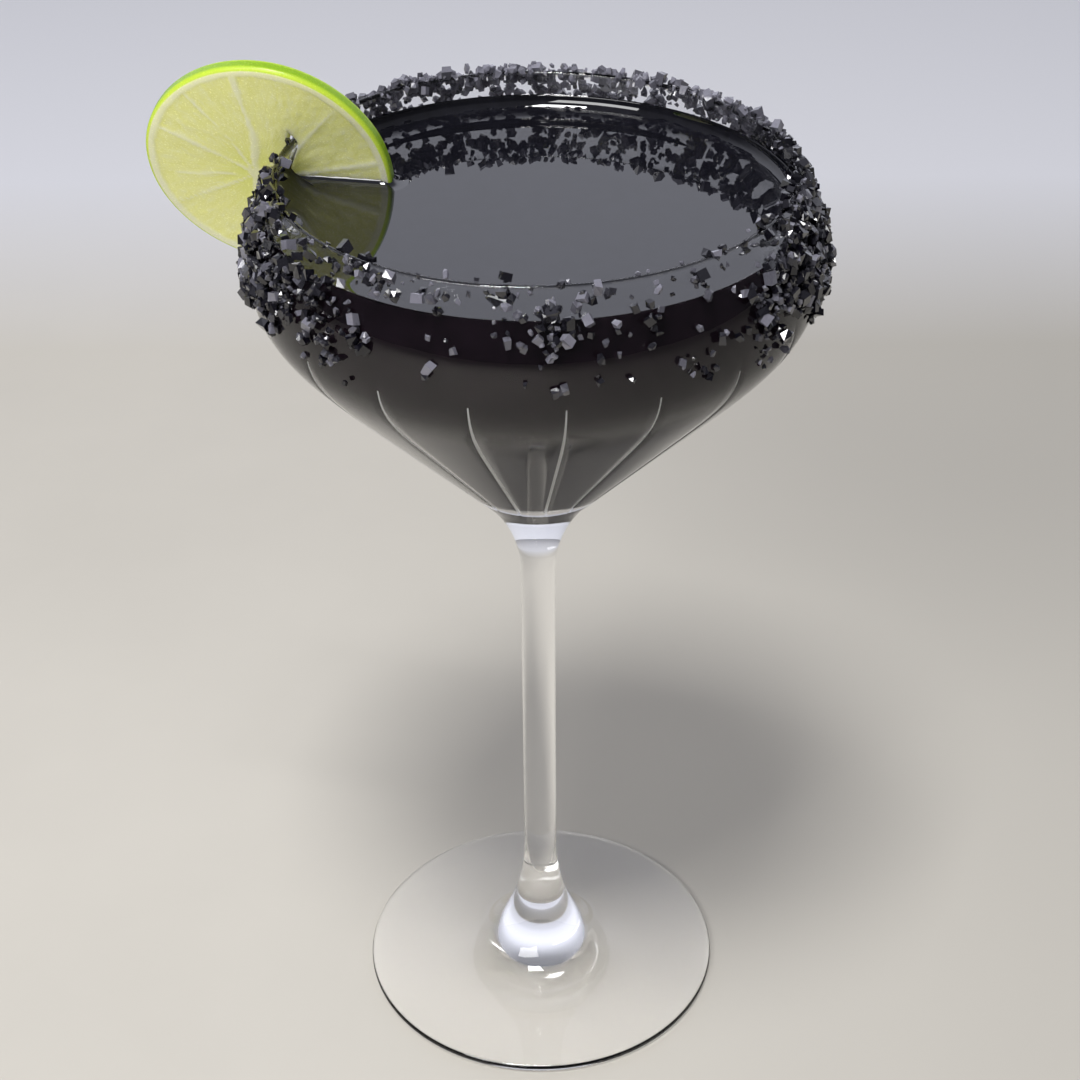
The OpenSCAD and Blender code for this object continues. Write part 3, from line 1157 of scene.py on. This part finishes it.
@dataclass
class Drink:
    """The black drink: a turned body that reaches just into the wall, and its edge at the lime."""

    shape: CoupeShape = field(default_factory=CoupeShape)
    lime: LimeWheel = field(default_factory=LimeWheel)
    level: float = 171.4
    climb: float = 3.4
    climb_width: float = 6.0
    into_wall: float = 0.12
    collar_climb: float = 1.6
    collar_fade: float = 0.66
    collar_width: float = 3.6
    collar_deep: float = 0.4
    collar_gap: float = 0.05
    collar_vary: float = 0.12
    collar_steps: int = 22
    side_steps: int = 40
    end_steps: int = 15

    def profile(self) -> tuple[list[Point2], list[float]]:
        """The turned outline of the drink.

        Returns:
            Points from the bottom up, and 1 for each that is on the open surface, else 0.
        """
        top = self.level + self.climb
        body = [p for p in self.shape.inner_curve(self.into_wall) if p[1] < top - 0.2]
        edge = self.shape.inner_r(top)
        curve = bezier([(edge + self.into_wall, top), (edge - 0.1, self.level + 0.9),
                        (edge - self.climb_width * 0.4, self.level),
                        (edge - self.climb_width, self.level)], 16)
        flat = [(r, self.level) for r in np.linspace(edge - self.climb_width, 0.0, 12)[1:]]
        skin = [0.0] * len(body) + [1.0] * (len(curve) + len(flat))
        return body + curve + flat, skin

    def climb_at(self, out: float) -> float:
        """Height of the skirt at a distance from the lime: steep at first, easing into the level."""
        return self.collar_climb * math.exp(-out / self.collar_fade)

    def collar(self) -> bpy.types.Mesh:
        """The thin skirt of drink that climbs the lime all round its waterline.

        Returns:
            A closed mesh.
        """
        lime = self.lime
        pose = lime.pose()
        right = pose.to_3x3() @ Vector((1, 0, 0))
        up = pose.to_3x3() @ Vector((0, 1, 0))
        front = pose.to_3x3() @ Vector((0, 0, 1))
        middle_y = (self.level - lime.centre[2]) / up.z
        start = lime.wall_x(middle_y, False) - 0.4
        end = math.sqrt(lime.radius ** 2 - middle_y ** 2) - 0.2
        half = lime.thick / 2 + self.collar_gap
        bow = front * lime.bend(middle_y, Half.INNER)
        base = Vector(lime.centre) + up * middle_y + Vector((bow.x, bow.y, 0.0))
        across = Vector((front.x, front.y, 0)).normalized()
        along = Vector((right.x, right.y, 0)).normalized()
        path: list[tuple[Vector, Vector]] = []
        for x in np.linspace(start, end - half, self.side_steps):
            path.append((base + along * x + across * half, across))
        for a in np.linspace(0, math.pi, self.end_steps)[1:-1]:
            way = across * math.cos(a) + along * math.sin(a)
            path.append((base + along * (end - half) + way * half, way))
        for x in np.linspace(end - half, start, self.side_steps):
            path.append((base + along * x - across * half, -across))
        steps = np.linspace(0.0, 1.0, self.collar_steps) ** 1.6
        points: list[tuple[float, float, float]] = []
        for number, (spot, way) in enumerate(path):
            vary = 1.0 + self.collar_vary * wave(number * 0.21, 2.0, 5.0)
            for t in steps:
                out = t * self.collar_width
                rise = vary * (self.climb_at(out) - self.climb_at(self.collar_width) * t)
                points.append((spot.x + way.x * out, spot.y + way.y * out,
                               self.level + rise + 0.01 * (1 - t) - 0.02 * t))
        size = len(steps)
        faces = []
        for i in range(len(path) - 1):
            for j in range(size - 1):
                a = i * size + j
                faces.append((a, a + 1, a + size + 1, a + size))
        floor = len(points)
        points += [(x, y, self.level - self.collar_deep) for x, y, _ in points]
        for i in range(len(path) - 1):
            for j in range(size - 1):
                a = floor + i * size + j
                faces.append((a, a + size, a + size + 1, a + 1))
            for j in (0, size - 1):
                a = i * size + j
                faces.append((a, a + size, floor + a + size, floor + a))
        for i in (0, len(path) - 1):
            for j in range(size - 1):
                a = i * size + j
                faces.append((a, a + 1, floor + a + 1, floor + a))
        mesh = mesh_from("drink_collar", np.array(points), faces)
        face_outward(mesh)
        smooth_faces(mesh)
        return mesh

    def build(self) -> bpy.types.Object:
        """Makes the drink and its edge at the lime, and dresses them.

        Returns:
            The body of the drink.
        """
        surface, wet = BlackDrink().make(), DrinkAtWall().make()
        profile, skin = self.profile()
        piece = TurnedPiece(line_depth=0.0).build("drink_body", profile, [0.0] * len(profile), skin,
                                                  (wet, surface))
        hand_over(piece, "drink", "drink")
        skirt = stand_up("drink_edge_at_lime", self.collar())
        skirt.data.materials.append(BlackDrink(index=1.8, name="drink_edge").make())
        hand_over(skirt, "drink")
        return piece


# ---------------------------------------------------------------- the salt

FULL_TURN = 6.283  # radians


def crystal_tree() -> bpy.types.GeometryNodeTree:
    """The tree that strews irregular crystals over a carrier surface.

    Returns:
        A tree whose geometry input is the carrier, with the attribute cover for how thickly it is strewn and
        pale, painted light that makes the crystals paler.
    """
    make = TreeMaker("strewn_salt")
    most = make.add_input("Most per square metre", "NodeSocketFloat")
    small = make.add_input("Smallest", "NodeSocketFloat")
    large = make.add_input("Largest", "NodeSocketFloat")
    stand = make.add_input("Stand off", "NodeSocketFloat")
    rough = make.add_input("Unevenness", "NodeSocketFloat")
    seed = make.add_input("Seed", "NodeSocketInt")
    finish = make.add_input("Finish", "NodeSocketMaterial")

    cover = make.node("GeometryNodeInputNamedAttribute", {"Name": "cover"}, data_type="FLOAT")
    density = make.math("MULTIPLY", cover.outputs["Attribute"], most)
    points = make.node("GeometryNodeDistributePointsOnFaces",
                       {"Mesh": make.inlet.outputs["Geometry"], "Density": density, "Seed": seed})
    draw = make.node("FunctionNodeRandomValue", {"Seed": make.math("ADD", seed, 1.0)}, data_type="FLOAT")
    size_share = make.math("POWER", draw.outputs[1], 1.9)
    size = make.math("ADD", small, make.math("MULTIPLY", size_share, make.math("SUBTRACT", large, small)))
    lift_draw = make.node("FunctionNodeRandomValue", {"Seed": make.math("ADD", seed, 2.0)},
                          data_type="FLOAT")
    lift = make.math("ADD", make.math("MULTIPLY", size, 0.25),
                     make.math("MULTIPLY", lift_draw.outputs[1], stand))
    away = make.node("ShaderNodeVectorMath", {0: points.outputs["Normal"], "Scale": lift}, operation="SCALE")
    raised = make.node("GeometryNodeSetPosition", {"Geometry": points.outputs["Points"],
                                                   "Offset": away.outputs[0]})
    cube = make.node("GeometryNodeMeshCube", {"Size": (1.0, 0.8, 0.7)})
    shard = make.node("GeometryNodeMeshIcoSphere", {"Radius": 0.58, "Subdivisions": 1})
    flat = make.node("GeometryNodeTransform",
                     {"Geometry": shard.outputs["Mesh"], "Scale": (1.0, 0.75, 0.62)})
    kinds = make.node("GeometryNodeGeometryToInstance")
    make.tree.links.new(cube.outputs["Mesh"], kinds.inputs[0])
    make.tree.links.new(flat.outputs[0], kinds.inputs[0])
    spin = make.node("FunctionNodeRandomValue",
                     {"Min": (0.0, 0.0, 0.0), "Max": (FULL_TURN, FULL_TURN, FULL_TURN),
                      "Seed": make.math("ADD", seed, 3.0)}, data_type="FLOAT_VECTOR")
    which = make.node("FunctionNodeRandomValue", {"Seed": make.math("ADD", seed, 4.0)}, data_type="INT")
    whole = [s for s in which.inputs if s.type == "INT"]
    whole[0].default_value, whole[1].default_value = 0, 1
    picked = [s for s in which.outputs if s.type == "INT"][0]
    strewn = make.node("GeometryNodeInstanceOnPoints", {
        "Points": raised.outputs[0], "Instance": kinds.outputs[0], "Pick Instance": True,
        "Instance Index": picked, "Rotation": spin.outputs[0], "Scale": size})
    tone_draw = make.node("FunctionNodeRandomValue", {"Seed": make.math("ADD", seed, 5.0)},
                          data_type="FLOAT")
    toned = make.node("GeometryNodeStoreNamedAttribute", {"Geometry": strewn.outputs[0], "Name": "tone"},
                      data_type="FLOAT", domain="INSTANCE")
    # painted light: the carrier's pale share lifts each crystal's random tone, so crystals toward the front
    # and back of the rim come out paler
    front = make.node("GeometryNodeInputNamedAttribute", {"Name": "pale"}, data_type="FLOAT")
    tone = make.math("POWER", tone_draw.outputs[1], make.math("SUBTRACT", 2.2, make.math(
        "MULTIPLY", front.outputs["Attribute"], 1.3)))
    make.feed(toned.inputs["Value"], tone)
    solid = make.node("GeometryNodeRealizeInstances", {"Geometry": toned.outputs[0]})
    jitter = make.node("FunctionNodeRandomValue",
                       {"Min": (-1.0, -1.0, -1.0), "Max": (1.0, 1.0, 1.0),
                        "Seed": make.math("ADD", seed, 6.0)}, data_type="FLOAT_VECTOR")
    nudge = make.node("ShaderNodeVectorMath", {0: jitter.outputs[0], "Scale": rough}, operation="SCALE")
    broken = make.node("GeometryNodeSetPosition", {"Geometry": solid.outputs[0], "Offset": nudge.outputs[0]})
    dressed = make.node("GeometryNodeSetMaterial", {"Geometry": broken.outputs[0], "Material": finish})
    return make.finish(dressed.outputs[0])


@dataclass(frozen=True)
class Clump:
    """A place along the front where the salt has caught more thickly."""

    turn_deg: float
    z: float
    wide_deg: float
    tall: float
    dense: float

    def cover(self, degrees: float, z: float) -> float:
        """How thickly this clump lies at a turn from the front, in degrees, and a height."""
        away = ((degrees - self.turn_deg) / self.wide_deg) ** 2 + ((z - self.z) / self.tall) ** 2
        return self.dense * math.exp(-away * away)


@dataclass
class SaltRim:
    """The crust of loose salt: dense at the sides and the back, thin and patchy along the front."""

    shape: CoupeShape = field(default_factory=CoupeShape)
    lime: LimeWheel = field(default_factory=LimeWheel)
    around: int = 360
    low_z: float = 157.0
    most_per_mm2: float = 1.3
    smallest: float = 0.75
    largest: float = 2.1
    stand_off: float = 0.8
    chipped: float = 0.16
    loose: float = 0.05
    seed: int = 7
    depth_front: float = 4.5
    depth_side: float = 12.0
    depth_back: float = 2.5
    left_deg: Span = (-34.0, -66.0)
    right_deg: Span = (44.0, 62.0)
    gappy_deg: Span = (112.0, 140.0)
    wiped_deg: Span = (-112.0, 60.0)
    wiped_below: Span = (6.0, 3.5)
    lime_from_deg: Span = (-90.0, -98.0)
    lime_to_deg: Span = (-118.0, -112.0)
    loose_below: Span = (17.5, 15.0)
    loose_deg: Span = (-50.0, 12.0)
    inside_share: float = 0.16
    rim_share: float = 0.16
    # painted light: spans over which crystals toward the front and the back of the rim are made paler, as if
    # lit
    painted_light_front: Span = (0.35, 0.85)
    painted_light_back: Span = (0.0, 0.6)
    clumps: tuple[Clump, ...] = (
        Clump(0.0, 174.0, 9.0, 3.2, 0.62),
        Clump(-30.0, 178.0, 16.0, 2.0, 0.40),
        Clump(-46.0, 169.0, 12.0, 8.0, 0.42),
        Clump(18.0, 179.0, 12.0, 1.6, 0.34),
        Clump(31.0, 167.0, 12.0, 3.0, 0.16),
        Clump(38.0, 179.5, 10.0, 1.6, 0.34),
        Clump(50.0, 168.0, 7.0, 8.0, 0.45),
    )

    def crust_depth(self, turn: float) -> float:
        """How far the crust reaches below the rim.

        Args:
            turn: angle from the front, in radians.

        Returns:
            The reach, in millimetres.
        """
        side = abs(math.sin(turn)) ** 1.5
        uneven = 0.9 * math.sin(5 * turn) + 0.8 * math.sin(11 * turn + 0.7) + 0.6 * math.sin(23 * turn)
        return self.depth_front + self.depth_side * side + self.depth_back * (1 - math.cos(turn)) + uneven

    def cover(self, turn: float, z: float, outside: bool) -> float:
        """How thickly the crystals lie at a place on the wall, 0 to 1.

        Args:
            turn: angle from the front, toward +X, in radians.
            z: height in millimetres.
            outside: whether the place is on the outside of the wall.

        Returns:
            0 for bare glass, 1 for a full crust.
        """
        below = self.shape.height - z
        x, y = math.sin(turn), -math.cos(turn)
        patch = wave(x * 9.0, y * 9.0, z * 0.16) + 0.5 * wave(x * 23.0, y * 23.0, z * 0.4)
        degrees = math.degrees(math.atan2(x, -y))
        if not outside:
            return self.inside_share * smoothstep(0.0, 0.4, patch) * (1.0 - smoothstep(1.5, 4.0, below))
        side = smoothstep(*(self.left_deg if degrees < 0 else self.right_deg), degrees)
        edge = smoothstep(-1.2, 1.6, self.crust_depth(turn) + 2.2 * patch - below)
        gaps = 1.0 - 0.8 * smoothstep(*self.gappy_deg, abs(degrees)) * smoothstep(2.2, 4.2, below) \
            * smoothstep(-0.35, 0.15, -patch)
        full = edge * gaps * (0.85 + 0.2 * patch)
        low, high = self.wiped_deg
        wiped = smoothstep(*self.wiped_below, below) if low < degrees < high else 0.0
        full *= 1.0 - 0.72 * wiped
        near_lime = smoothstep(*self.lime_from_deg, degrees) * smoothstep(*self.lime_to_deg, degrees)
        full *= 1.0 - 0.75 * near_lime
        heap = sum(c.cover(degrees, z) for c in self.clumps)
        loose = self.loose * smoothstep(*self.loose_below, below) * smoothstep(*self.loose_deg, degrees)
        rim = self.rim_share * smoothstep(3.2, 2.0, below)
        front = max(heap * (0.75 + 0.5 * patch), loose, rim)
        return max(0.0, min(1.0, full * side + front * (1 - side)))

    def carrier(self) -> bpy.types.Mesh:
        """The band of wall the crystals sit on, with how thickly they lie.

        Returns:
            A mesh with the numbers cover and pale at each point; pale is painted light, higher toward the
            front and the back of the rim.
        """
        outside = [(self.shape.outer_r(z), z, True)
                   for z in np.linspace(self.low_z, self.shape.bead_z(), 34)]
        over = [(r, z, True) for r, z in self.shape.bead_curve()[1:8]]
        inside = [(self.shape.inner_r(z), z, False) for z in np.linspace(self.shape.bead_z(), 174.0, 8)]
        line = outside + over + inside
        points, cover, pale = [], [], []
        for i in range(self.around):
            turn = 2 * math.pi * i / self.around
            for r, z, out in line:
                points.append((r * math.sin(turn), -r * math.cos(turn), z))
                cover.append(self.cover(turn, z, out) * self.clear_of_lime(points[-1]))
                # painted light: pale rises toward the front and the back, so crystals there come out paler,
                # as if lit
                pale.append(max(smoothstep(*self.painted_light_front, math.cos(turn)),
                                1.6 * smoothstep(*self.painted_light_back, -math.cos(turn))))
        size = len(line)
        faces = []
        for i in range(self.around):
            k = (i + 1) % self.around
            for j in range(size - 1):
                faces.append((i * size + j, k * size + j, k * size + j + 1, i * size + j + 1))
        mesh = mesh_from("salt_carrier", np.array(points), faces)
        set_floats(mesh, "cover", cover)
        set_floats(mesh, "pale", pale)
        return mesh

    def clear_of_lime(self, spot: tuple[float, float, float]) -> float:
        """How clear a place is of the lime wheel.

        Args:
            spot: the place, in millimetres.

        Returns:
            0 inside the wheel, 1 clear of it.
        """
        local = self.lime.pose().inverted() @ Vector(spot)
        if math.hypot(local.x, local.y) > self.lime.radius + 0.5:
            return 1.0
        return smoothstep(self.lime.thick / 2 - 0.6, self.lime.thick / 2 + 0.8, abs(local.z))

    def build(self) -> bpy.types.Object:
        """Strews the crystals and dresses them.

        Returns:
            The piece.
        """
        piece = run_tree("salt_crystals", self.carrier(), crystal_tree(), {
            "Most per square metre": self.most_per_mm2 / MM ** 2, "Smallest": self.smallest * MM,
            "Largest": self.largest * MM, "Stand off": self.stand_off * MM, "Unevenness": self.chipped * MM,
            "Seed": self.seed, "Finish": BlackSalt().make()})
        face_outward(piece.data, merge=False)
        smooth_faces(piece.data, False)
        hand_over(piece, "salt", "salt_rim")
        return piece


# ---------------------------------------------------------------- stage

class SkyMaker(NodeMaker):
    """Builds the world's node tree."""

    def __init__(self, name: str) -> None:
        """Starts a world with a plain background."""
        self.world = bpy.data.worlds.new(name)
        self.world.use_nodes = True
        self.tree = self.world.node_tree

    def rise(self, value: Socket, span: Span, first: float, last: float) -> Socket:
        """A smooth change of light over a span of directions.

        Args:
            value: the direction's share along one axis.
            span: where the change starts and ends.
            first: the result before it.
            last: the result after it.

        Returns:
            The result.
        """
        made = self.node("ShaderNodeMapRange",
                         {"Value": value, "From Min": span[0], "From Max": span[1],
                          "To Min": first, "To Max": last}, interpolation_type="SMOOTHSTEP")
        return made.outputs["Result"]


@dataclass(frozen=True)
class SoftLight:
    """A soft lamp with a rectangular face: place and size in metres, power in watts."""

    name: str
    place: tuple[float, float, float]
    size: tuple[float, float]
    power: float

    def build(self, aim: Vector) -> None:
        """Hangs the lamp and points it.

        Args:
            aim: the point it shines at.
        """
        data = bpy.data.lights.new(self.name, "AREA")
        data.shape = "RECTANGLE"
        data.size, data.size_y = self.size
        data.energy = self.power
        lamp = stand_up(self.name, data)
        lamp.location = self.place
        lamp.rotation_euler = (Vector(self.place) - aim).to_track_quat("Z", "Y").to_euler()


@dataclass
class Studio:
    """Plain floor, soft light and the camera."""

    camera_back: float = 0.3425
    camera_up: float = 0.3304
    camera_side: float = 0.0004
    pitch_deg: float = 33.42
    roll_deg: float = -0.44
    lens: float = 72.57
    sensor: float = 36.0
    floor_half: float = 3.0
    floor_gap: float = 0.2
    sky_colour: Colour = (0.90, 0.92, 1.04)
    back_span: Span = (0.1, 0.7)
    back_light: float = 0.98
    high_span: Span = (0.62, 0.85)
    high_share: float = 0.12
    low_span: Span = (0.30, 0.46)
    low_share: float = 0.80
    ceiling_span: Span = (0.42, 0.60)
    dim_light: float = 0.08
    ceiling_light: float = 0.20
    aim_z: float = 0.12
    lamps: tuple[SoftLight, ...] = (
        SoftLight("key_light", (-0.15, -0.40, 1.35), (0.34, 0.34), 15.0),
        SoftLight("fill_light", (-0.59, -1.02, 0.99), (0.90, 0.45), 11.0),
    )

    def floor(self) -> None:
        """A wide pale floor under the foot."""
        mesh = bpy.data.meshes.new("floor")
        size, under = self.floor_half, -self.floor_gap * MM
        corners = [(-size, -size, under), (size, -size, under), (size, size, under), (-size, size, under)]
        mesh.from_pydata(corners, [], [(0, 1, 2, 3)])
        mesh.materials.append(PaleFloor().make())
        stand_up("floor", mesh)

    def sky(self) -> None:
        """A soft light field: bright behind the drink, dim behind the camera."""
        make = SkyMaker("soft_light")
        bpy.context.scene.world = make.world
        place = make.node("ShaderNodeTexCoord").outputs["Generated"]
        split = make.node("ShaderNodeSeparateXYZ", {"Vector": place})
        back = make.rise(split.outputs["Y"], self.back_span, 0.0, self.back_light)
        high = make.rise(split.outputs["Z"], self.high_span, 1.0, self.high_share)
        low = make.rise(split.outputs["Z"], self.low_span, self.low_share, 1.0)
        front = make.rise(split.outputs["Z"], self.ceiling_span, self.dim_light, self.ceiling_light)
        glow = make.tree.nodes["Background"]
        make.feed(glow.inputs["Strength"],
                  make.math("MULTIPLY_ADD", make.math("MULTIPLY", back, high), low, front))
        glow.inputs["Color"].default_value = (*self.sky_colour, 1.0)

    def camera(self) -> None:
        """The camera in front of and above the drink."""
        data = bpy.data.cameras.new("camera")
        data.lens = self.lens
        data.sensor_width = self.sensor
        data.clip_start = 0.01
        camera = stand_up("camera", data)
        place = Matrix.Translation((self.camera_side, -self.camera_back, self.camera_up))
        pitch = Matrix.Rotation(math.radians(90 - self.pitch_deg), 4, "X")
        roll = Matrix.Rotation(math.radians(self.roll_deg), 4, "Z")
        camera.matrix_world = place @ pitch @ roll
        bpy.context.scene.camera = camera

    def build(self) -> None:
        """Sets up the whole stage."""
        self.floor()
        self.sky()
        for lamp in self.lamps:
            lamp.build(Vector((0, 0, self.aim_z)))
        bpy.context.scene.view_settings.view_transform = "Standard"
        self.camera()


def main() -> None:
    """Builds every sub-assembly in order."""
    logging.basicConfig(level=logging.INFO, format="%(name)s: %(message)s")
    Studio().build()
    CoupeGlass().build()
    LimeWheel().build()
    Drink().build()
    SaltRim().build()


if __name__ == "__main__":
    main()
    bpy.context.view_layer.update()
